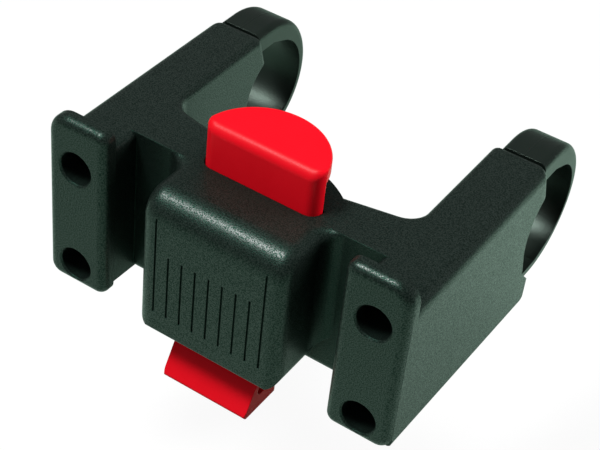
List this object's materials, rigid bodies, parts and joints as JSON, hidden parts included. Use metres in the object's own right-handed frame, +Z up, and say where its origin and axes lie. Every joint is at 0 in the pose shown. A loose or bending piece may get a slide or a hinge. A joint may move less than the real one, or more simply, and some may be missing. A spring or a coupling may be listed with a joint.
{
  "type": "handlebar bag mount",
  "caption": "Bracket whose arms clamp a bicycle handlebar with screw-drawn straps; a bag's plate slides into its notches and a push-button latch holds it.",
  "frame": {"origin": "on the handlebar's axis, midway between the two clamps", "axes": "+X along the handlebar, to the right for someone facing the mount's front, +Y back towards the rider, +Z up"},
  "size_m": [0.0904, 0.0864, 0.0611],
  "materials": {
    "bracket_plastic": "black moulded plastic with a fine eroded grain",
    "strap_plastic": "black moulded plastic, smooth satin",
    "red_plastic": "red moulded plastic, satin",
    "steel": "zinc-plated steel"
  },
  "bodies": {
    "bracket": {"bracket": "bracket_plastic", "pivot_pin": "steel", "return_spring": "steel", "left_upper_screw": "steel", "left_lower_screw": "steel", "right_upper_screw": "steel", "right_lower_screw": "steel", "left_upper_washer": "steel", "left_lower_washer": "steel", "right_upper_washer": "steel", "right_lower_washer": "steel"},
    "button": {"release_button": "red_plastic"},
    "latch": {"latch": "red_plastic", "cam_pin": "steel"},
    "left_strap": {"left_clamp_strap": "strap_plastic", "left_upper_nut": "steel", "left_lower_nut": "steel"},
    "right_strap": {"right_clamp_strap": "strap_plastic", "right_upper_nut": "steel", "right_lower_nut": "steel"}
  },
  "joints": [
    {"name": "button_press", "type": "slide", "parent": "bracket", "child": "button", "axis": [0, 0, -1], "range_m": [0, 0.005], "stiffness_N_per_m": 1000, "springref_m": -0.006, "deforming": ["return_spring"]},
    {"name": "latch_swing", "type": "hinge", "parent": "bracket", "child": "latch", "pos_m": [0, -0.0617, 0.009], "axis": [1, 0, 0], "range_deg": [0, 7.01]},
    {"name": "left_strap_slide", "type": "slide", "parent": "bracket", "child": "left_strap", "axis": [0, 1, 0], "range_m": [0, 0.005]},
    {"name": "right_strap_slide", "type": "slide", "parent": "bracket", "child": "right_strap", "axis": [0, 1, 0], "range_m": [0, 0.005]}
  ],
  "couplings": [
    {"joint": "latch_swing", "follows": "button_press", "rad_per_m": 24.435}
  ]
}
